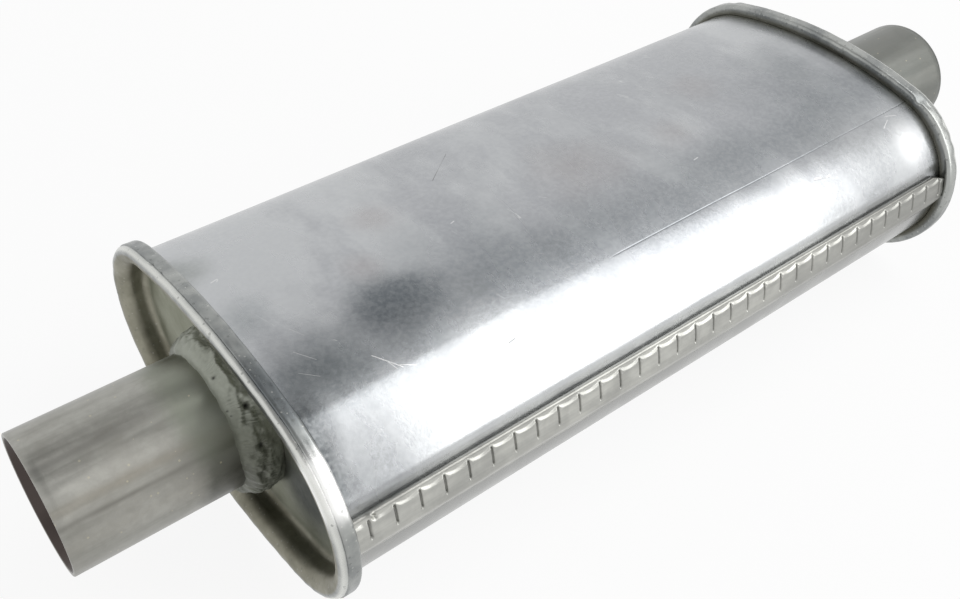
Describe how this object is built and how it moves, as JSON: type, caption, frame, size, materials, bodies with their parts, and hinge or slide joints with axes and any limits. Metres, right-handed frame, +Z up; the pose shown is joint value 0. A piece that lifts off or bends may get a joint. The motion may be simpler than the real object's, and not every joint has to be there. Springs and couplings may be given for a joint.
{
  "type": "exhaust muffler",
  "caption": "Oval exhaust muffler with a wrapped, staked-seam shell, recessed end heads on rolled rims and a straight pipe stub welded into the middle of each end.",
  "frame": {"origin": "centre of the inlet pipe stub's open mouth, on the pipes' common axis", "axes": "+X along the pipes from the inlet to the outlet, +Z up across the oval's short height, +Y across its width, with the shell's lock seam on the -Y side"},
  "size_m": [0.4495, 0.1604, 0.092],
  "materials": {
    "shell_steel": "aluminised, satin, mottled",
    "head_steel": "aluminised, dull",
    "pipe_steel": "aluminised, smoky, drawn along its length",
    "weld_metal": "lumpy weld bead, painted over in dull grey",
    "inner_steel": "aluminised, plain",
    "glass_wool": "loose fibre"
  },
  "bodies": {
    "root": {"outer_shell": "shell_steel", "inner_shell": "inner_steel", "inlet_head": "head_steel", "outlet_head": "head_steel", "inlet_pipe": "pipe_steel", "outlet_pipe": "pipe_steel", "inlet_weld": "weld_metal", "outlet_weld": "weld_metal", "inlet_core_tube": "inner_steel", "outlet_core_tube": "inner_steel", "inlet_core_plug": "inner_steel", "outlet_core_plug": "inner_steel", "inlet_core_tacks": "weld_metal", "outlet_core_tacks": "weld_metal", "inlet_baffle": "inner_steel", "center_baffle": "inner_steel", "outlet_baffle": "inner_steel", "left_transfer_tube": "inner_steel", "right_transfer_tube": "inner_steel", "inlet_packing": "glass_wool", "outlet_packing": "glass_wool"}
  },
  "joints": []
}
